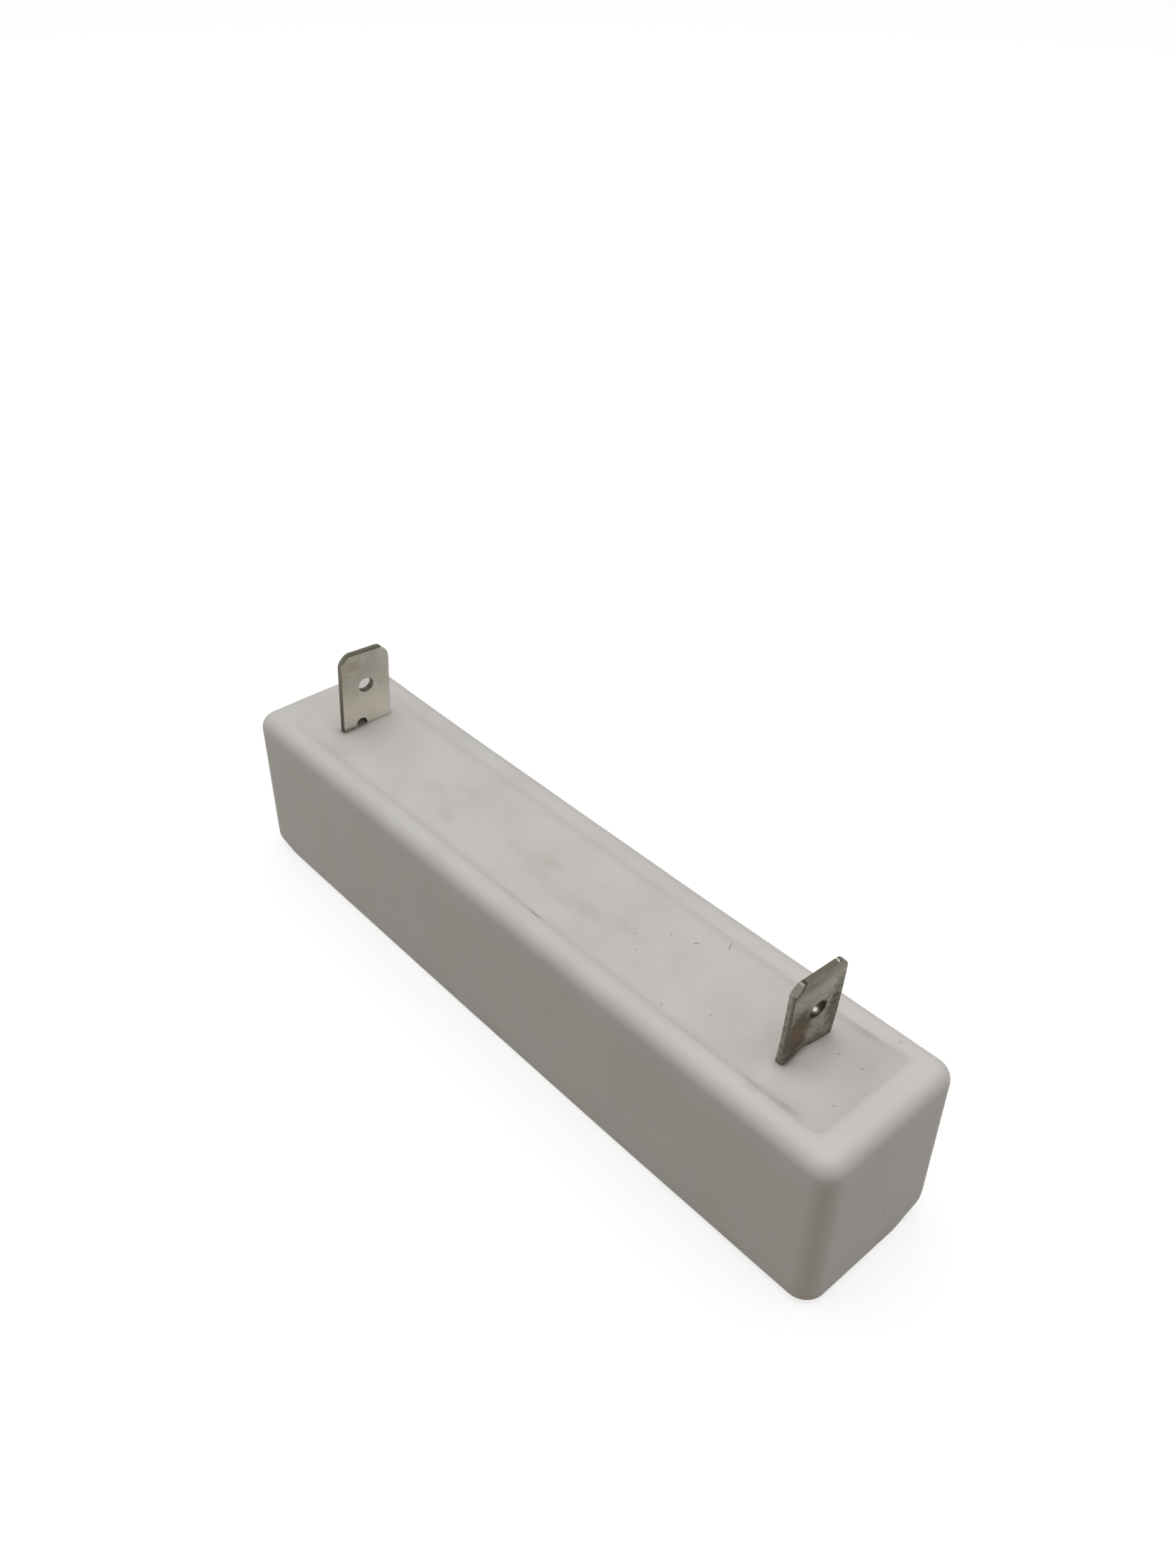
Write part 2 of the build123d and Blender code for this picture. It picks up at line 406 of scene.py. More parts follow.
def potting_cement():
    material, start = new_finish("poured_cement")
    place = object_place(start)
    flat = stretched(place, (1, 1, 0))
    marks = place.node("ShaderNodeAttribute", {"attribute_name": "marks"}, output="Vector")
    stained = axis(marks, "X")
    dirt_and_painted_shade = axis(marks, "Y")
    wall_shade_and_end_patch = axis(marks, "Z")
    fine = grain(place, 0.25 * MM, 3)
    clouded = tinted(place, tone(200, 197, 195), tone(206, 204, 201), 6 * MM)
    # Painted light: the cement round the near blade is paler, against the blade's shadow
    pale = distance_to(flat, Vector((36.3, -1.2, 0)) * MM).rise(5.5 * MM, 1.5 * MM)
    with_painted_light = mix(pale * 0.8, clouded, tone(224, 219, 217))

    patchy = stained * (0.5 + 0.5 * grain(place, 2.6 * MM, 3).rise(0.3, 0.7))
    stain = mix(axis(place, "X").rise(1 * MM, 5 * MM), tone(168, 167, 154), tone(170, 165, 166))
    greyed = mix(patchy * 0.31, with_painted_light, stain)
    # Painted shade along the walls, and a darker patch near the near end wall
    brown_and_painted_shade = mix(wall_shade_and_end_patch * 0.5, greyed, tone(180, 174, 167))
    # Dirt and painted shade: round the blades, in the key holes, the tear and the dimples, and along the
    # walls
    darkened_by_dirt_and_shade = mix(dirt_and_painted_shade * 0.9, brown_and_painted_shade, tone(82, 77, 69))
    points = [(x, y, 0) for x, y in cement_grains]
    colour = mix(spots(flat, points, 0.1 * MM) * 0.85, darkened_by_dirt_and_shade, tone(84, 80, 76))

    relief = bump(fine + grain(place, 1.2 * MM, 2) * 0.6, 0.02 * MM, 0.6)
    roughness = 0.62 + fine * 0.16 - wall_shade_and_end_patch * 0.08
    solid_finish(start, colour, roughness, relief)
    return material


cement = potting_cement()
print("Finish:", cement.name)

# %% [markdown]
# ## Tinned steel
# Both blades are stamped from the same tinned sheet, but the far one is only dull, while the near one is
# tarnished, scratched by a connector and rusty in one place. Their finish is drawn on the flat sheet: each
# vertex remembers where it lay before the sheet was bent, across it and up from the cement. A pattern in
# those two lengths keeps its place on the blade however the blade leans.

# %% Lengths of the two blades
tip_lengths = "height slope coin_run coin_depth corner_run left_corner right_corner softened detent_aside"
BladeTip = namedtuple("BladeTip", tip_lengths)
far_tip = BladeTip(
    height=10.8 * MM,
    slope=0,
    coin_run=0.28 * MM,
    coin_depth=0.19 * MM,
    corner_run=0.2 * MM,
    left_corner=1.05 * MM,
    right_corner=1.15 * MM,
    softened=0.09 * MM,
    detent_aside=0,
)
near_tip = BladeTip(
    height=11.0 * MM,
    slope=-0.015,
    coin_run=0.5 * MM,
    coin_depth=0.12 * MM,
    corner_run=0.09 * MM,
    left_corner=0.95 * MM,
    right_corner=0.7 * MM,
    softened=0.06 * MM,
    detent_aside=0.25 * MM,
)
blade_half = 3.15 * MM
detent_up = 6.0 * MM
detent_radius = 0.92 * MM
key_up = 0.7 * MM
key_aside = -0.7 * MM
key_radius = 0.62 * MM
print("Blades, mm above the cement:", round(far_tip.height / MM, 2), round(near_tip.height / MM, 2))

# %% Places and patterns on the flat sheet
Places = namedtuple("Places", "across up level from_detent in_detent in_key on_side top_edge near_cement")
Patterns = namedtuple("Patterns", "clouds blotches fine streaks")


def ellipse(across, up, centre, reach):
    """1 at the centre of an ellipse on the sheet, fading to 0 at its edge: both in millimetres."""
    side = (across - centre[0] * MM) * (1 / (reach[0] * MM))
    rise = (up - centre[1] * MM) * (1 / (reach[1] * MM))
    return (side * side + rise * rise).rise(1, 0)


def distance_on_sheet(across, up, aside, height):
    side = across - aside
    rise = up - height
    squared = side * side + rise * rise
    return squared.maths("SQRT", squared)


def places_on(sheet, tip):
    """Where a point of the sheet lies: the lengths across and up it, and masks of its holes and edges."""
    across = axis(sheet, "X")
    up = axis(sheet, "Y")
    level = up - across * tip.slope
    outward = across.absolute()
    from_detent = distance_on_sheet(across, up, tip.detent_aside, detent_up)
    from_key = distance_on_sheet(across, up, key_aside, key_up)
    return Places(
        across=across,
        up=up,
        level=level,
        from_detent=from_detent,
        in_detent=from_detent.rise(detent_radius + 0.09 * MM, detent_radius + 0.03 * MM),
        in_key=from_key.rise(key_radius + 0.09 * MM, key_radius + 0.03 * MM),
        on_side=outward.rise(blade_half - 0.09 * MM, blade_half - 0.03 * MM),
        top_edge=level.rise(tip.height - 0.07 * MM, tip.height - 0.02 * MM),
        near_cement=up.rise(3.4 * MM, 0.8 * MM),
    )


def patterns_on(sheet):
    """Clouds, blotches and fine grain of the tin, and the slanting streaks that a connector leaves."""
    turned = sheet.node("ShaderNodeVectorRotate", inputs={"Vector": sheet, "Angle": radians(-33)})
    drawn_out = stretched(turned, (0.2, 1, 1))
    return Patterns(
        clouds=grain(sheet, 1.8 * MM, 4, distortion=0.6),
        blotches=grain(sheet, 0.8 * MM, 4, 0.65, 0.8),
        fine=grain(sheet, 0.12 * MM, 3),
        streaks=grain(drawn_out, 0.13 * MM, 3, 0.6),
    )


print("Places on the sheet:", ", ".join(Places._fields))

# %% [markdown]
# ## Tin, tarnish and scratches
# The finish is laid on in the order in which the real one came: first the tin with its coined tip and its
# sheared sides, then tarnish and rust, then the scratches, and last two painted highlights. The tin also
# carries painted reflection and shade: lighter low down, a darker tip, the corner facet, the sides and hole
# walls, and contact shadow at the cement. One long function could hold it all, but each layer is easier to
# follow, and to leave out, by itself. One value is 0 for a blade that is only dull, and 1 for a tarnished
# and scratched one, which also gets a darker top, a painted shadow line, painted shade in its hole and the
# painted highlights.

# %% Layers of the tin
def plain_tin(sheet, at, patterns, tip, tones, brown_at, wear_and_painted_light):
    """Dull tin, its coined tip and corners, its sheared sides and holes, with painted reflection and shade,
    and dirt with painted contact shadow near the cement.
    """
    # Painted reflection: lighter low on the blade and darker towards the tip, in tones set per blade
    base = mix(at.up.rise(1 * MM, 9 * MM) * 0.8 + patterns.clouds * 0.5 - 0.2, tones["low"], tones["high"])
    mottled = mix(patterns.blotches.rise(0.35, 0.75) * (0.08 + 0.32 * wear_and_painted_light), base, tones["band"])
    brown_patch = ellipse(at.across, at.up, brown_at, (1.7, 1.4)) * patterns.clouds.rise(0.3, 0.6) * 0.5
    brown_and_painted_shade = mix(brown_patch, mottled, tones["patch"])

    # Painted reflection: a darker coined tip, and on the near blade a darker top and a dark line along the
    # top edge
    band_start = tip.height - tip.coin_run
    in_band = at.level.rise(band_start - 0.04 * MM, band_start + 0.04 * MM)
    near_top = at.level.rise(tip.height - 2.4 * MM, tip.height - 0.4 * MM)
    painted_dark_tip = mix((in_band * (1 - 0.7 * wear_and_painted_light)).most(near_top * wear_and_painted_light * 0.8), brown_and_painted_shade, tones["band"])
    painted_dark_edge = mix(at.top_edge * 0.55 * wear_and_painted_light, painted_dark_tip, tone(80, 76, 64))

    # Painted light and shade: the coined corner facet takes a tone of its own, and the near blade a painted
    # shadow line inside it
    to_corner = at.level - at.across
    corner_start = blade_half + tip.height - tip.left_corner - 1.42 * tip.corner_run
    in_corner = to_corner.rise(corner_start - 0.04 * MM, corner_start + 0.04 * MM)
    painted_shadow_line = to_corner.rise(corner_start - 0.45 * MM, corner_start - 0.25 * MM) - in_corner
    painted_corner_facet = mix(in_corner * 0.85, painted_dark_edge, tones["corner"])
    painted_corner_line = mix(painted_shadow_line * 0.85 * wear_and_painted_light, painted_corner_facet, tone(60, 56, 45))

    to_front = axis(sheet, "Z").rise(-0.2 * MM, 0.3 * MM) * at.up.rise(1 * MM, 2.5 * MM)
    side_marks = to_front.most(patterns.blotches.rise(0.4, 0.6) * 0.7) * wear_and_painted_light * 0.9
    # The sheared sides and hole walls: sheared steel, with painted shade in a darker tone set per blade
    sheared = mix(side_marks, tones["side"], tone(92, 86, 74))
    with_painted_light = mix(at.on_side.most(at.in_detent).most(at.in_key), painted_corner_line, sheared)
    # Dirt and painted contact shadow near the cement
    return mix(at.up.rise(0.8 * MM, 0.2 * MM) * 0.6, with_painted_light, tone(90, 85, 74))


def tarnish_on(at, patterns, wear_and_painted_light):
    """Tarnish in the low corner, along one side and at the cement."""
    low_corner = ellipse(at.across, at.up, (-1.9, 4.6), (2.2, 4.1))
    right_side = ellipse(at.across, at.up, (2.9, 5.4), (2.2, 4.6))
    smudge = ellipse(at.across, at.up, (2.4, 8.9), (0.9, 1.1))
    reach = low_corner * 1.15 + right_side * 0.95 + smudge * 0.45 + at.near_cement * 0.75
    uneven = reach + (patterns.blotches - 0.5) * 1.5 + (patterns.streaks - 0.5) * 1.1
    return uneven.rise(0.05, 1.25) * (1 - at.on_side) * (1 - at.in_detent * 0.6) * wear_and_painted_light


def scratches_on(at, patterns, wear_and_painted_light):
    """Scratches that a connector left: bright ones through the tarnish, dark ones through the tin."""
    right_half = ellipse(at.across, at.up, (2.0, 5.6), (2.4, 3.6))
    reach = 0.08 + 0.92 * right_half.most(at.near_cement * 0.6)
    on_face = 1 - at.on_side.most(at.in_detent).most(at.top_edge)
    scraped = reach * patterns.blotches.rise(0.3, 0.5) * wear_and_painted_light * on_face
    return patterns.streaks.rise(0.56, 0.64) * scraped, patterns.streaks.rise(0.47, 0.41) * scraped


def glints_on(sheet, at, patterns, wear_and_painted_light):
    """Two painted highlights: a glint on the tip's edge, and one on the wall of the detent hole."""
    painted_tip_glint = ellipse(at.across, at.level, (2.1, 10.97), (0.2, 0.12)) * patterns.streaks.rise(0.45, 0.5) * wear_and_painted_light
    to_hole_glint = distance_to(sheet, Vector((0.58, 5.14, -0.18)) * MM)
    painted_hole_glint = to_hole_glint.rise(0.6 * MM, 0.2 * MM) * 0.25 + to_hole_glint.rise(0.3 * MM, 0.12 * MM) * 0.75
    return painted_tip_glint.most(painted_hole_glint * at.in_detent * wear_and_painted_light)


print("Layers of the tin are ready")

# %% Tinned steel finish
def tinned_steel(name, tip, tones, brown_at, wear_and_painted_light):
    """Tinned sheet, with its layers from the tin outwards, painted reflection, shade and highlights among
    them.
    """
    material, start = new_finish(name)
    sheet = start.node("ShaderNodeAttribute", {"attribute_name": "sheet"}, output="Vector")
    at = places_on(sheet, tip)
    patterns = patterns_on(sheet)
    plain = plain_tin(sheet, at, patterns, tip, tones, brown_at, wear_and_painted_light)

    tarnish = tarnish_on(at, patterns, wear_and_painted_light)
    tarnished = mix(tarnish * 0.95, plain, tone(84, 78, 63))
    rusty = ellipse(at.across, at.up, (-1.9, 4.3), (1.3, 2.0)) * patterns.blotches.rise(0.3, 0.55) * wear_and_painted_light
    rusted = mix(rusty * 0.85, tarnished, tone(128, 105, 78))
    # A darker ring round the detent hole
    ring_round_detent = at.from_detent.rise(detent_radius + 0.32 * MM, detent_radius + 0.12 * MM) * (1 - at.in_detent)
    pierced = mix(ring_round_detent * patterns.blotches.rise(0.3, 0.5) * 0.75 * wear_and_painted_light, rusted, tone(72, 68, 56))

    bright, dark = scratches_on(at, patterns, wear_and_painted_light)
    lighter = mix(bright * 0.9, pierced, tone(206, 203, 192))
    scratched = mix(dark * 0.9, lighter, tone(58, 53, 42))
    speckled = mix(patterns.fine.rise(0.55, 0.74) * 0.2, scratched, tone(104, 99, 86))
    # Painted shade in the detent hole
    painted_hole_shade = mix(at.in_detent * wear_and_painted_light * 0.9, speckled, tone(62, 57, 44))
    # The two painted highlights
    colour = mix(glints_on(sheet, at, patterns, wear_and_painted_light), painted_hole_shade, tone(244, 243, 238))

    metal = 0.75 - rusty * 0.5 - tarnish * 0.1
    roughness = 0.4 + patterns.clouds * 0.14 + tarnish * 0.12 + rusty * 0.25 - bright * 0.12
    rough_height = patterns.fine * 0.4 + patterns.streaks * wear_and_painted_light * 0.6 + patterns.blotches * 0.5
    solid_finish(start, colour, roughness, bump(rough_height, 0.015 * MM, 0.5), metal)
    return material


# Low and high are painted reflection up the blade, band and corner the painted tip and corner facet, side the
# sheared edges with painted shade; patch is a brown stain
far_tones = {
    "low": tone(245, 241, 231),
    "high": tone(178, 174, 162),
    "patch": tone(168, 152, 138),
    "band": tone(114, 110, 96),
    "corner": tone(118, 114, 100),
    "side": tone(102, 97, 82),
}
near_tones = {
    "low": tone(182, 178, 164),
    "high": tone(180, 179, 165),
    "patch": tone(146, 132, 118),
    "band": tone(112, 108, 95),
    "corner": tone(164, 160, 152),
    "side": tone(162, 157, 146),
}
far_tin = tinned_steel("dull_tin", far_tip, far_tones, brown_at=(-2.0, 8.9), wear_and_painted_light=0)
near_tin = tinned_steel("tarnished_tin", near_tip, near_tones, brown_at=(-2.0, 7.6), wear_and_painted_light=1)
print("Finishes:", far_tin.name, near_tin.name)

# %% [markdown]
# ## Finishes for what is sealed in
# The core, the winding and its two caps lie inside the cement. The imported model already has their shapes,
# so they stay, and only get the finish of the real material. They could be left plain, since no view shows
# them while the cement is there, but a reader who takes the part apart should find steatite, resistance
# alloy and plated steel.

# %% Sealed-in finishes
def sealed_finish(name, first, second, grain_size, stretch, metallic, rough, depth):
    """A finish with clouds, stretched grain and small relief, for a piece inside the cement."""
    material, start = new_finish(name)
    place = object_place(start)
    clouds = grain(place, 4 * MM, 3)
    fibre = grain(stretched(place, stretch), grain_size, 3)
    darker_patches = grain(place, 1.5 * MM, 4, 0.6).rise(0.55, 0.75) * 0.35
    base = mix(clouds.rise(0.3, 0.7), first, second)
    colour = mix(darker_patches, base, tone(176, 172, 166))
    roughness = rough + fibre * 0.15 + darker_patches * 0.3
    solid_finish(start, colour, roughness, bump(fibre, depth, 0.5), metallic * (1 - darker_patches))
    return material


even = (1, 1, 1)
round_axis = (1, 0.12, 0.12)
white_clay = (tone(226, 223, 216), tone(234, 231, 226))
dark_alloy = (tone(150, 143, 132), tone(172, 166, 156))
bright_plate = (tone(188, 187, 184), tone(206, 205, 201))
steatite = sealed_finish("steatite", *white_clay, 0.3 * MM, even, 0, 0.5, 0.01 * MM)
alloy = sealed_finish("alloy_ribbon", *dark_alloy, 0.1 * MM, round_axis, 1, 0.3, 0.004 * MM)
plated = sealed_finish("plated_cap", *bright_plate, 0.2 * MM, round_axis, 1, 0.25, 0.004 * MM)
sealed_in = {
    "core_rod": steatite,
    "resistance_ribbon": alloy,
    "end_cap_far": plated,
    "end_cap_near": plated,
}
for name, material in sealed_in.items():
    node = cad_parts[name]
    node.data.materials.clear()
    node.data.materials.append(material)
print("Sealed in:", ", ".join(sealed_in))

# %% [markdown]
# ## Helpers for the pieces
# Every piece starts as a bmesh, is shaped by operators and is then written to an object that sits at the
# origin. Its flat faces need enough vertices to be bent and made slightly uneven. A Subdivision Surface
# modifier would add them too, but it would also soften every edge, so the faces are cut at even steps.

# %% Helpers for shaping
def distinct(items):
    """The items once each, in the order in which they come."""
    return list(dict.fromkeys(items))


def with_outline(faces):
    """Faces together with their vertices and edges, as a cut needs them."""
    corners = distinct(v for f in faces for v in f.verts)
    sides = distinct(e for f in faces for e in f.edges)
    return corners + sides + faces


def only(kind, items):
    """Those of an operator's results that are of one kind: vertices, edges or faces."""
    return [item for item in items if isinstance(item, kind)]


def top_faces(shape):
    return [f for f in shape.faces if f.calc_center_median().z > section_height - HAIR]


def round_edges(shape, edges, radius, segments):
    """Rounds edges off with that radius, in that many flat strips."""
    bmesh.ops.bevel(
        shape,
        geom=edges,
        offset=radius,
        offset_type="OFFSET",
        segments=segments,
        profile=0.5,
        affect="EDGES",
        material=-1,
    )


def rounded_block(shape, length, width, height, corner, segments):
    """Adds a block on z = 0 with rounded upright edges, and returns its vertices."""
    before = set(shape.verts)
    made = bmesh.ops.create_cube(shape, size=1)["verts"]
    bmesh.ops.scale(shape, vec=(length, width, height), verts=made)
    bmesh.ops.translate(shape, vec=(0, 0, height / 2), verts=made)
    joined = distinct(edge for vertex in made for edge in vertex.link_edges)
    upright = [edge for edge in joined if abs(edge.verts[0].co.z - edge.verts[1].co.z) > height / 2]
    round_edges(shape, upright, corner, segments)
    return [v for v in shape.verts if v not in before]


def cut_evenly(shape, direction, first, last, step):
    """Cuts the whole shape by planes square to a direction, at even steps."""
    normal = Vector(direction)
    cuts = round((last - first) / step)
    for number in range(cuts + 1):
        everything = shape.verts[:] + shape.edges[:] + shape.faces[:]
        plane = normal * (first + (last - first) * number / cuts)
        bmesh.ops.bisect_plane(shape, geom=everything, plane_co=plane, plane_no=normal, dist=CUT_HAIR)


def to_piece(shape, name, material, node, crease=None):
    """Writes the shape to an object that stands for that node, with its steeper edges kept crisp."""
    for face in shape.faces:
        face.smooth = True
    mesh = bpy.data.meshes.new(name)
    shape.to_mesh(mesh)
    shape.free()
    mesh.materials.append(material)
    if crease:
        mesh.set_sharp_from_angle(angle=crease)
    piece = bpy.data.objects.new(name, mesh)
    bpy.context.scene.collection.objects.link(piece)
    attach(piece, "root")
    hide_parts(node)
    triangles = sum(len(p.vertices) - 2 for p in mesh.polygons)
    print(name, "has", triangles, "triangles")


print("Helpers for shaping are ready")

# %% [markdown]
# ## The ceramic case
# The case is a boat with a deep trough. It could be a cube with a boolean cut, but a bevel needs clean
# rings of faces. So two rounded blocks are made with as many corner segments each, the outer one and the
# trough turned inside out, and their open tops are bridged: that bridge is the flat land of the rim.

# %% Case sizes
long_wall = 3.1 * MM
end_wall = 4.5 * MM
floor_thickness = 3.2 * MM
case_corner = 2.3 * MM
trough_corner = 1.4 * MM
rim_radius = 1.8 * MM
rim_roll = 0.8 * MM
rim_roll_drop = 0.2 * MM
bottom_radius = 0.5 * MM
corner_segments = 12
rim_segments = 10
roll_segments = 6
bottom_segments = 5
trough_length = case_size.x - 2 * end_wall
trough_width = case_size.y - 2 * long_wall
trough_depth = section_height - floor_thickness
end_thinner = 0.4 * MM
side_thinner = 0.25 * MM
draft_angle = 1.2
draft_run = trough_depth * sin(radians(draft_angle))
narrowed = (1 - 2 * draft_run / trough_length, 1 - 2 * draft_run / trough_width, 1)
print("Trough, mm:", round(trough_length / MM, 2), round(trough_width / MM, 2), round(trough_depth / MM, 2))

# %% Case shape
def trough_block(shape):
    """Adds the trough as a block: drafted, and off centre, so the two walls in front are thinner."""
    block = rounded_block(shape, trough_length, trough_width, trough_depth, trough_corner, corner_segments)
    bmesh.ops.translate(shape, vec=(0, 0, floor_thickness), verts=block)
    low = [v for v in block if v.co.z < floor_thickness + HAIR]
    bmesh.ops.scale(shape, vec=narrowed, verts=low)
    for vertex in block:
        vertex.co.x += end_thinner if vertex.co.x > 0 else 0
        vertex.co.y -= side_thinner if vertex.co.y < 0 else 0
    return block


case = bmesh.new()
rounded_block(case, case_size.x, case_size.y, section_height, case_corner, corner_segments)
inner = trough_block(case)
bmesh.ops.reverse_faces(case, faces=distinct(f for v in inner for f in v.link_faces))
tops = top_faces(case)
rims = [e for f in tops for e in f.edges]
bmesh.ops.delete(case, geom=tops, context="FACES_ONLY")
bmesh.ops.bridge_loops(case, edges=rims)
bmesh.ops.recalc_face_normals(case, faces=case.faces)


def level_ring(shape, height, least, most):
    """The sharp level edges at a height that lie between two distances from the long middle line."""
    found = []
    for edge in shape.edges:
        level = all(abs(v.co.z - height) < HAIR for v in edge.verts)
        reach = max(max(abs(v.co.y), abs(v.co.x) - (case_size.x - case_size.y) / 2) for v in edge.verts)
        if level and edge.calc_face_angle() > 1 and least < reach < most:
            found.append(edge)
    return found


between = case_size.y / 2 - long_wall / 2
round_edges(case, level_ring(case, section_height, between, case_size.x), rim_radius, rim_segments)
round_edges(case, level_ring(case, section_height, 0, between), rim_roll, roll_segments)
round_edges(case, level_ring(case, 0, between, case_size.x), bottom_radius, bottom_segments)

# Rings round the bottom, which the knocked corners need
bottom = [f for f in case.faces if f.calc_center_median().z < HAIR]
for ring_width in (0.5 * MM, 0.6 * MM, 0.6 * MM):
    bmesh.ops.inset_region(case, faces=bottom, thickness=ring_width, use_even_offset=True)
print("Case faces before the cuts:", len(case.faces))

# %% [markdown]
# ## What firing and use did to the case
# A pressed edge comes out of the mould softer than a machine would cut it, so the roll of the rim's inner
# edge is wide and shallow. Two lower corners have been knocked round, and the bottom sags a little near one
# of them. A slow and a quick noise move every vertex inwards by a few hundredths of a millimetre, which
# keeps the long highlights from looking drawn with a ruler. A displacement map could do the same, but it
# would bend no outline, so the mesh is cut finely enough to be moved itself.

# %% Case cuts
flat_end = case_size.x / 2 - case_corner
flat_side = case_size.y / 2 - case_corner
cell = 1.1 * MM
cut_evenly(case, (1, 0, 0), cell - flat_end, flat_end - cell, cell)
cut_evenly(case, (0, 1, 0), cell - flat_side, flat_side - cell, cell)
cut_evenly(case, (0, 0, 1), bottom_radius + cell / 2, section_height - rim_radius - cell / 2, cell)
cut_evenly(case, (0, 0, 1), 0.75 * MM, 1.65 * MM, 0.45 * MM)
print("Case faces after the cuts:", len(case.faces))

# %% How the case departs from its moulded shape
knocked_corners = {1: (2.1 * MM, 5 * MM), -1: (1.5 * MM, 4.5 * MM)}
sag = 0.35 * MM
sag_height = 4 * MM


def trough_reach(x, y):
    """How far a point lies outside the trough's upright wall: negative inside it."""
    away_x = max(x - end_thinner, -x) - (trough_length / 2 - trough_corner)
    away_y = max(y, -y - side_thinner) - (trough_width / 2 - trough_corner)
    if away_x < 0 or away_y < 0:
        return max(away_x, away_y) - trough_corner
    return hypot(away_x, away_y) - trough_corner


def knocked_round(x, y, z, end, radius, reach):
    """How a point moves onto the wider round of a knocked lower corner, which fades out at its reach."""
    from_corner = hypot(x - end * (flat_end + 1.6 * MM), y - end * (flat_side + 1.6 * MM))
    wider = bottom_radius + (radius - bottom_radius) * max(1 - (from_corner / reach) ** 2, 0) ** 1.5
    out_x = max(end * x - flat_end, 0)
    out_y = max(end * y - flat_side, 0)
    out = hypot(out_x, out_y)
    sideways = wider - case_corner + out
    down = wider - z
    past = hypot(sideways, down)
    if out == 0 or sideways < 0 or down < 0 or past < wider:
        return Vector((0, 0, 0))
    cut_back = 1 - wider / past
    inward = -end * sideways * cut_back / out
    return Vector((out_x * inward, out_y * inward, down * cut_back))


def unevenness(place):
    """How far the fired surface lies inside the moulded one there."""
    slow = 0.5 + 0.5 * noise.noise(place / (13 * MM))
    quick = 0.5 + 0.5 * noise.noise(place / (3.5 * MM))
    return (slow * 0.07 + quick * 0.02) * MM


def rolled(reach):
    """The height of the rim's inner roll at that distance from the trough."""
    return section_height - rim_roll_drop * (1 - max(reach, 0) / rim_roll) ** 2


print("Knocked corners, mm:", [round(radius / MM, 2) for radius, reach in knocked_corners.values()])

# %% Case, moved and bowed
case.normal_update()
for vertex in case.verts:
    x, y, z = vertex.co
    from_trough = trough_reach(x, y)
    if z > section_height - rim_roll - HAIR and from_trough < rim_roll:
        vertex.co.z = rolled(from_trough)
    vertex.co -= vertex.normal * unevenness(vertex.co)
    for end, (radius, reach) in knocked_corners.items():
        vertex.co += knocked_round(x, y, z, end, radius, reach)
    sagged = sag * max(1 - z / sag_height, 0) ** 2
    vertex.co.z -= sagged * max(x / case_size.x * 2, 0) ** 6 * max(0.5 + y / case_size.y, 0)
bow(case)
to_piece(case, "ceramic_boat", ceramic, "ceramic_case")

# %% [markdown]
# ## The cement
# The cement fills the trough and hides what lies in it, so only its top has to be shaped. It stays a little
# below the rim, climbs the walls, and heaps up against the blades. It came away from the wall in one place.
# The top could be a height map. A Python function of x and y says the same in lengths that can be read.

# %% The cement's surface as functions of the place
fill_depth = 0.5 * MM
wall_depth = 0.19 * MM
meniscus_width = 0.6 * MM
overlap = 0.35 * MM
far_blade = Vector((-35.3, 0.54, 0)) * MM
near_blade = Vector((33.6, 0.72, 0)) * MM


def hill(value, centre, width):
    """1 at the centre, and down to about a third at that distance from it."""
    return exp(-(((value - centre) / width) ** 2))


def patch(x, y, centre, reach):
    """1 in the middle of a soft patch of the top, and fading out round it: both in millimetres."""
    return hill(x, centre[0] * MM, reach[0] * MM) * hill(y, centre[1] * MM, reach[1] * MM)


def beside_blade(x, y, blade):
    """The distance from the blade's outline in plan."""
    return hypot(max(abs(x - blade.x) - 0.4 * MM, 0), max(abs(y - blade.y) - blade_half, 0))


def surface_depth(x, y):
    """How deep the cement lies below the rim: it curls up the walls and heaps up at the blades."""
    from_wall = max(-trough_reach(x, y), 0)
    width = meniscus_width * (1 + 2.2 * hill(abs(x), trough_length / 2, 3 * MM))
    free = 1 - exp(-from_wall / width)
    deepest = fill_depth - 0.12 * MM * hill(x, -trough_length / 2, 7 * MM)
    depth = wall_depth + (deepest - wall_depth) * free
    depth += 0.05 * MM * free * noise.noise(Vector((x, y, 0)) / (6 * MM))
    depth += 0.02 * MM * free * noise.noise(Vector((x, y, 0.01)) / (1.8 * MM))
    for blade in (far_blade, near_blade):
        climb = -0.03 * MM + 0.07 * (y - blade.y)
        depth -= climb * exp(-beside_blade(x, y, blade) / (0.5 * MM))
        plugged = (1.5 if blade is near_blade else 1.1) * MM
        depth -= plugged * hill(x, blade.x - 0.35 * MM, 0.55 * MM) * hill(y, blade.y + key_aside, 0.9 * MM)
    heap_y = near_blade.y - 0.5 * MM
    depth -= 0.5 * MM * hill(y, heap_y, 1.7 * MM) * hill(x, near_blade.x + 0.3 * MM, 0.9 * MM)
    depth -= 0.22 * MM * patch(x, y, (-32.6, 2.6), (2.2, 2))
    depth += 0.25 * MM * patch(x, y, (33.5, -5.6), (0.7, 0.45))
    depth += 0.25 * MM * patch(x, y, (37, -5.3), (1.1, 0.5))
    return depth


def opened(x, y):
    """1 where the cement came away from the wall."""
    if y > 0:
        return 0
    tear = 4.5 * MM
    return 0.7 * hill(x, tear, 0.9 * MM if x > tear else 1.5 * MM)


print("Cement at mid-length lies", round(surface_depth(0, 0) / MM, 2), "mm below the rim")

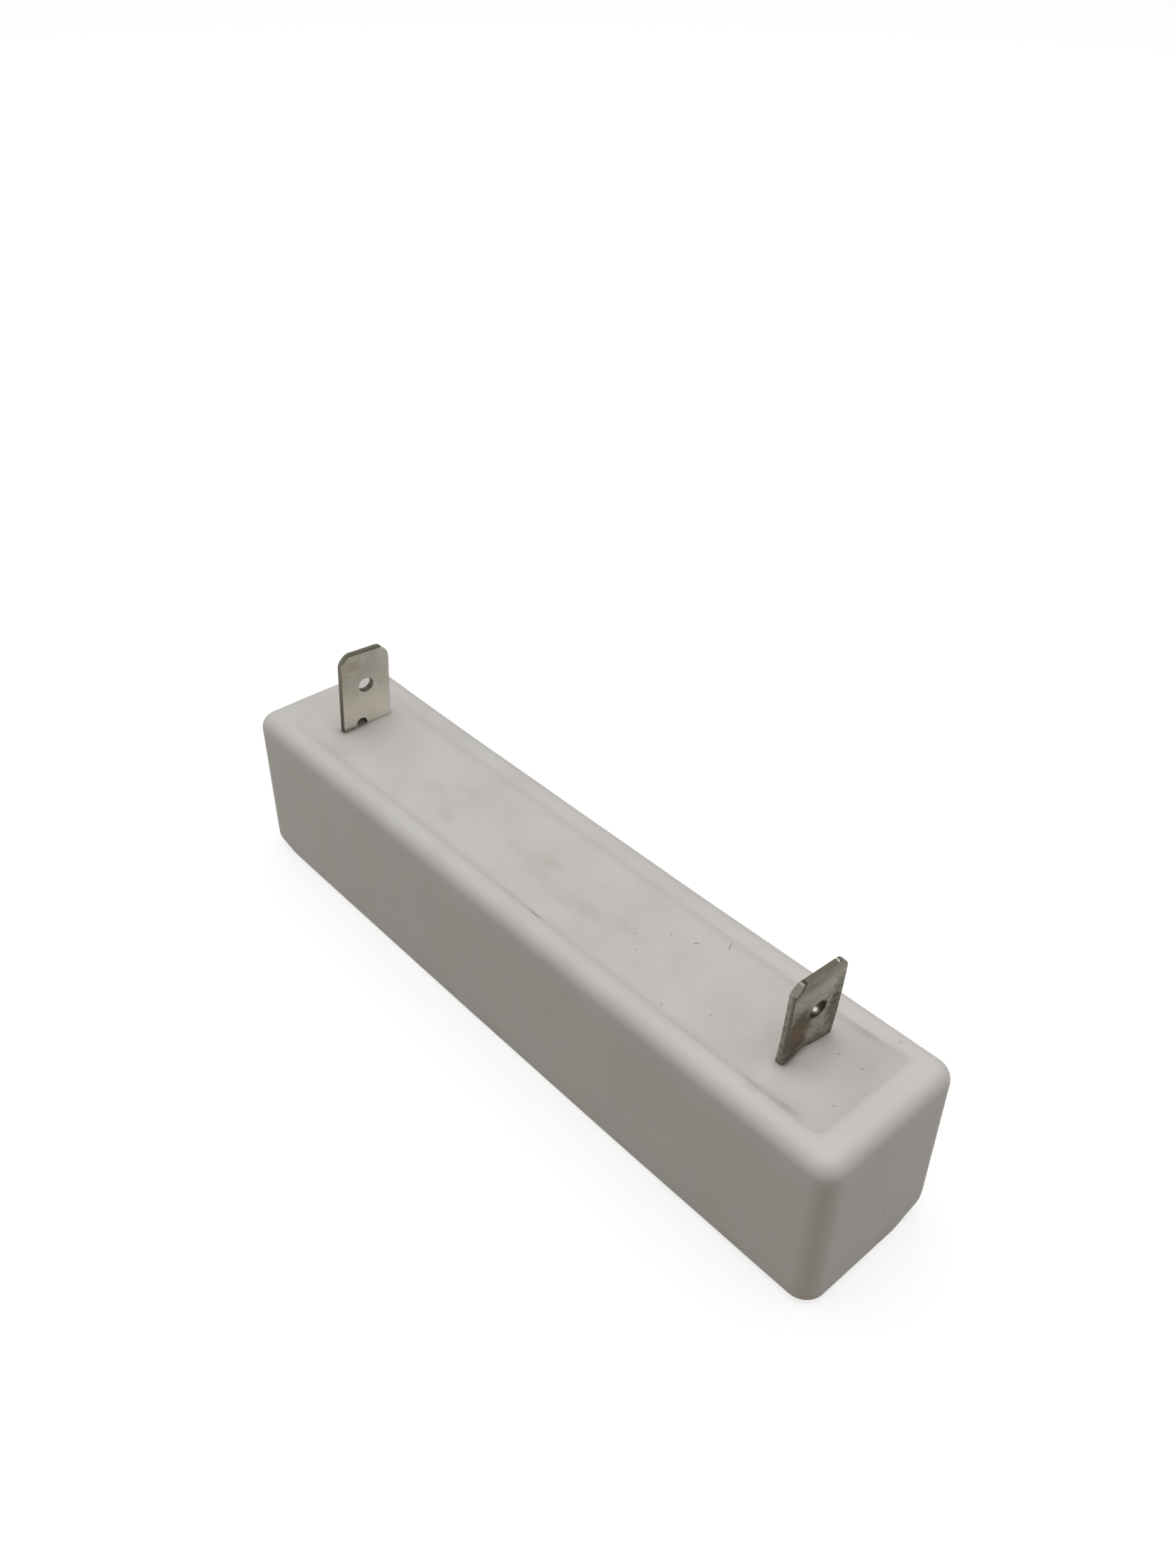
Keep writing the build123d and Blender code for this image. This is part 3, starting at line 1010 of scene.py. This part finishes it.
# %% Its marks as functions of the place
stain_places = [(-19.9, -1.1), (-15.5, 1.6), (-14.6, -3.0), (-5.0, -0.7), (-1.7, -1.1), (-0.8, 0.5)]
stain_places += [(0.8, -1.6), (4.5, -2.0), (6.3, -1.9), (7.5, -1.5), (12.0, -0.6)]
stain_reach = (1.8, 0.9)


def marks(x, y):
    """How stained, how dark with dirt and painted shade, and how dark with painted shade by the walls: each 0
    to 1.
    """
    stained = sum(patch(x, y, place, stain_reach) for place in stain_places)
    beside = min(beside_blade(x, y, far_blade), beside_blade(x, y, near_blade))
    # Dirt and painted contact shadow in a ring round each blade
    dirt_and_painted_shade = 0.55 * exp(-beside / (0.22 * MM)) + 0.05 * exp(-beside / (1.1 * MM))
    # Painted shade in the key hole behind each blade
    for blade in (far_blade, near_blade):
        dirt_and_painted_shade += hill(x, blade.x - 0.3 * MM, 0.7 * MM) * hill(y, blade.y + key_aside, 1.1 * MM)
    from_wall = max(-trough_reach(x, y), 0)
    # Painted shade in the gap where the cement came away from the wall
    dirt_and_painted_shade += opened(x, y) * hill(from_wall, 0, 0.13 * MM)
    # Painted shade in two dimples by the near wall, and darker along the far wall near the end and the near
    # wall's middle
    dirt_and_painted_shade += 0.2 * patch(x, y, (33.7, -6.2), (0.9, 0.5)) + 0.15 * patch(x, y, (37.1, -5.8), (1.4, 0.5))
    dirt_and_painted_shade += 0.15 * patch(x, y, (36.6, 5.9), (1.7, 0.35)) + 0.1 * patch(x, y, (1, -6.2), (3, 0.3))
    # Painted shade along the foot of the walls
    painted_wall_shade = hill(from_wall, 0.2 * MM, 0.4 * MM) * (0.5 if y < 0 else 0.36)
    painted_wall_shade *= 1 - 0.7 * hill(x, -trough_length / 2, 10 * MM)
    painted_wall_shade *= 1 - 0.8 * hill(x, trough_length / 2, 1.5 * MM)
    # A darker patch near the near end wall
    at_near_end = 0.55 * patch(x, y, (39.3, 2), (1.3, 4))
    return Vector((min(stained, 1), min(dirt_and_painted_shade, 1), min(painted_wall_shade + at_near_end, 1)))


print("Stains in the cement:", len(stain_places))

# %% Cement block and cuts
pour = bmesh.new()
trough_block(pour)
top = top_faces(pour)
for ring_width in (0.09 * MM, 0.16 * MM, 0.25 * MM, 0.4 * MM):
    bmesh.ops.inset_region(pour, faces=top, thickness=ring_width, use_even_offset=True)
inner_end = 39 * MM
inner_side = 4.5 * MM
cut_evenly(pour, (1, 0, 0), -inner_end, inner_end, 0.5 * MM)
cut_evenly(pour, (0, 1, 0), -inner_side, inner_side, 0.45 * MM)
for blade in (far_blade, near_blade):
    close_by = [f for f in top_faces(pour) if abs(f.calc_center_median().x - blade.x) < 1.8 * MM]
    for offset in (-1.2, -0.8, -0.6, -0.4, 0.4, 0.6, 0.8, 1.2):
        plane = {"plane_co": (blade.x + offset * MM, 0, 0), "plane_no": (1, 0, 0), "dist": CUT_HAIR}
        cut = bmesh.ops.bisect_plane(pour, geom=with_outline(close_by), **plane)
        close_by = only(bmesh.types.BMFace, cut["geom"])
print("Cement faces:", len(pour.faces))

# %% Cement, marked and shaped
mark_layer = pour.verts.layers.float_vector.new("marks")
for vertex in pour.verts:
    x, y, z = vertex.co
    vertex[mark_layer] = marks(x, y)
    if z > section_height - HAIR:
        vertex.co.z -= surface_depth(x, y)
        if trough_reach(x, y) > -0.01 * MM:
            held = 1 - opened(x, y)
            straight_x = min(max(x, -inner_end), inner_end)
            straight_y = min(max(y, -inner_side), inner_side)
            outward = Vector((x - straight_x, y - straight_y, 0)).normalized()
            vertex.co += outward * overlap * held
            sunk = 0.02 * MM + 0.5 * MM * (1 - held)
            vertex.co.z = rolled(overlap * held) - unevenness(Vector((x, y, z))) - sunk
bow(pour)
to_piece(pour, "cement_pour", cement, "cement_fill", crease=radians(60))

# %% [markdown]
# ## The blades
# A terminal is one stamping: a blade with a coined lead-in and a detent hole, a second hole that the cement
# keys into, a short stem and a round foot that is welded to the cap. A boolean would pierce the holes, but
# it leaves long thin triangles that show as streaks once the sheet is bent. Here each hole is a ring of
# vertices joined to the rectangle round it, the two rectangles share an edge, and the rest is pulled from
# their ends.

# %% Holes and rows of the flat sheet
sheet_half = 0.4 * MM
cell_half = 2.6 * MM
element_axis_up = -8.85 * MM
foot_radius = 4.2 * MM
stem_foot = 4.4 * MM
bend_up = 5.2 * MM
blade_datum = 18.3 * MM


def hole_cell(shape, middle, hole_across, hole_up, radius):
    """A rectangle of sheet round one hole, with its vertices where those of the next cell are."""
    rim = bmesh.ops.create_circle(shape, segments=32, radius=1)["verts"]
    rim_edges = distinct(e for v in rim for e in v.link_edges)
    pulled = bmesh.ops.extrude_edge_only(shape, edges=rim_edges)["geom"]
    for vertex in only(bmesh.types.BMVert, pulled):
        square = vertex.co / max(abs(vertex.co.x), abs(vertex.co.y))
        vertex.co = Vector((square.x * blade_half, middle + square.y * cell_half, 0))
    bmesh.ops.scale(shape, vec=(radius, radius, 1), verts=rim)
    bmesh.ops.translate(shape, vec=(hole_across, hole_up, 0), verts=rim)


def pull_row(shape, row, up, width_ratio, slope=0):
    """Pulls a row of edges out to a new height and width, and returns the new row."""
    pulled = bmesh.ops.extrude_edge_only(shape, edges=row)["geom"]
    for vertex in only(bmesh.types.BMVert, pulled):
        vertex.co = Vector((vertex.co.x * width_ratio, up + vertex.co.x * slope, 0))
    return only(bmesh.types.BMEdge, pulled)


def row_at(shape, up):
    return [e for e in shape.edges if all(abs(v.co.y - up) < HAIR for v in e.verts)]


print("Sheet, mm:", round(2 * blade_half / MM, 2), "wide and", round(2 * sheet_half / MM, 2), "thick")

# %% The flat stamping
def tip_cuts(tip):
    """The straight cuts that shape the tip's corners, each as a point and the direction it cuts away."""
    cuts = []
    for side, chamfer in ((-1, tip.left_corner), (1, tip.right_corner)):
        corner_height = tip.height + side * blade_half * tip.slope
        high = Vector((side * (blade_half - chamfer), corner_height, 0))
        low = Vector((side * blade_half, corner_height - chamfer, 0))
        for degrees, corner, trimmed in ((45, low, 0), (67, high, tip.softened), (23, low, tip.softened)):
            outward = Vector((side * cos(radians(degrees)), sin(radians(degrees)), 0))
            cuts.append((corner - outward * trimmed, outward))
    return cuts


def tip_distance(across, up, tip):
    """How far inside the tip a point lies, as the coining counts it: its corners are coined less."""
    place = Vector((across, up, 0))
    at_corners = min((point - place).dot(outward) for point, outward in tip_cuts(tip))
    return min(at_corners + tip.coin_run - tip.corner_run, tip.height + across * tip.slope - up)


def flat_blade(tip):
    """The stamping before it is bent: across is x, up is y and the thickness is z."""
    shape = bmesh.new()
    hole_cell(shape, detent_up, tip.detent_aside, detent_up, detent_radius)
    hole_cell(shape, detent_up - 2 * cell_half, key_aside, key_up, key_radius)
    bmesh.ops.remove_doubles(shape, verts=shape.verts, dist=HAIR)
    band_start = tip.height - tip.coin_run
    row = pull_row(shape, row_at(shape, detent_up + cell_half), band_start, 1, tip.slope)
    pull_row(shape, row, tip.height, 1, tip.slope)

    # The stem, the neck and the round foot, row by row
    row = row_at(shape, detent_up - 3 * cell_half)
    row = pull_row(shape, row, element_axis_up + stem_foot, 1)
    half_width = blade_half
    for degrees in range(48, 180, 12):
        next_half = foot_radius * sin(radians(degrees))
        next_up = element_axis_up + foot_radius * cos(radians(degrees))
        row = pull_row(shape, row, next_up, next_half / half_width)
        half_width = next_half
    pull_row(shape, row, element_axis_up - foot_radius, 0.001)
    bmesh.ops.remove_doubles(shape, verts=shape.verts, dist=0.01 * MM)

    # The cut corners, and the lines where the coining starts
    for point, outward in tip_cuts(tip):
        upper = [f for f in shape.faces if f.calc_center_median().y > detent_up + cell_half]
        plane = {"plane_no": outward, "dist": 2 * HAIR}
        coined_from = point - outward * tip.corner_run
        cut = bmesh.ops.bisect_plane(shape, geom=with_outline(upper), plane_co=coined_from, **plane)
        bmesh.ops.bisect_plane(shape, geom=cut["geom"], plane_co=point, clear_outer=True, **plane)
    cut_evenly(shape, (0, 1, 0), element_axis_up + 5 * MM, detent_up - 3 * cell_half - 0.3 * MM, 0.3 * MM)

    # Thickness, coining and broken edges
    thick = bmesh.ops.extrude_face_region(shape, geom=shape.faces[:])["geom"]
    raised = only(bmesh.types.BMVert, thick)
    bmesh.ops.translate(shape, vec=(0, 0, 2 * sheet_half), verts=raised)
    bmesh.ops.translate(shape, vec=(0, 0, -sheet_half), verts=shape.verts)
    bmesh.ops.recalc_face_normals(shape, faces=shape.faces)
    for vertex in shape.verts:
        inside = tip_distance(vertex.co.x, vertex.co.y, tip)
        thinner = tip.coin_depth * max(0, 1 - inside / tip.coin_run)
        vertex.co.z -= thinner if vertex.co.z > 0 else -thinner
    sharp = [e for e in shape.edges if e.calc_face_angle() > 1]
    round_edges(shape, sharp, 0.06 * MM, 2)
    bmesh.ops.remove_doubles(shape, verts=shape.verts, dist=CUT_HAIR)
    return shape


print("The stamping is ready to be made")

# %% [markdown]
# ## Bending and setting the blades
# A real terminal is bent after it is stamped. An armature or a Simple Deform modifier could bend the sheet,
# but a path is easier to check: it is walked in short steps up the stem, and each step turns a little more,
# until the blade leans as it should. Every vertex then takes the place and the lean of its own step.

# %% Bent and set blades
def bend_and_place(shape, blade, tip, low_lean, top_lean, roll, turn):
    """Bends the flat stamping along its stem, then rolls, turns and sets it on the case: in degrees."""
    sheet_layer = shape.verts.layers.float_vector.new("sheet")
    bend_start = element_axis_up + bend_up
    step = 0.02 * MM
    path = []
    aside = 0
    height = bend_start
    up = bend_start
    while up < tip.height + step:
        ramp = min((up - bend_start) / (1.1 * MM), 1)
        lean = radians(low_lean + (top_lean - low_lean) * max(up, 0) / tip.height) * ramp
        path.append((aside, height, lean))
        aside += sin(lean) * step
        height += cos(lean) * step
        up += step
    level_aside, level_height, _ = path[round(-bend_start / step)]
    for vertex in shape.verts:
        vertex[sheet_layer] = vertex.co
        across, up, out = vertex.co
        place = min(max(round((up - bend_start) / step), 0), len(path) - 1)
        aside, height, lean = path[place]
        if up < bend_start:
            height = up
        vertex.co = Vector((aside + out * cos(lean), across, height - out * sin(lean)))
    bmesh.ops.translate(shape, vec=(-level_aside, 0, -level_height), verts=shape.verts)
    turned = Matrix.Rotation(radians(roll), 3, "X") @ Matrix.Rotation(radians(turn), 3, "Z")
    bmesh.ops.rotate(shape, matrix=turned, verts=shape.verts)
    upwards = Vector((0, 0, blade_datum + lift_at(blade.x)))
    bmesh.ops.translate(shape, vec=blade + upwards, verts=shape.verts)


far_shape = flat_blade(far_tip)
bend_and_place(far_shape, far_blade, far_tip, low_lean=4.2, top_lean=4.2, roll=-1.1, turn=-5)
to_piece(far_shape, "blade_far", far_tin, "terminal_far", crease=radians(14))
near_shape = flat_blade(near_tip)
bend_and_place(near_shape, near_blade, near_tip, low_lean=8, top_lean=3.5, roll=3.7, turn=-4)
to_piece(near_shape, "blade_near", near_tin, "terminal_near", crease=radians(14))

# %% [markdown]
# ## Sizes before and after the dressing
# The box round everything is printed as it was before the dressing and as it is after it. The two should
# agree closely, since the visible pieces may not grow beyond the imported model. They could also be read
# off in the editor.

# %% Sizes
visual_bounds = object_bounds()
sizes = {
    "cad": [list(corner) for corner in cad_bounds],
    "visual": [list(corner) for corner in visual_bounds],
}
for name, (low, high) in sizes.items():
    print(name, [round(value / MM, 3) for value in low + high])
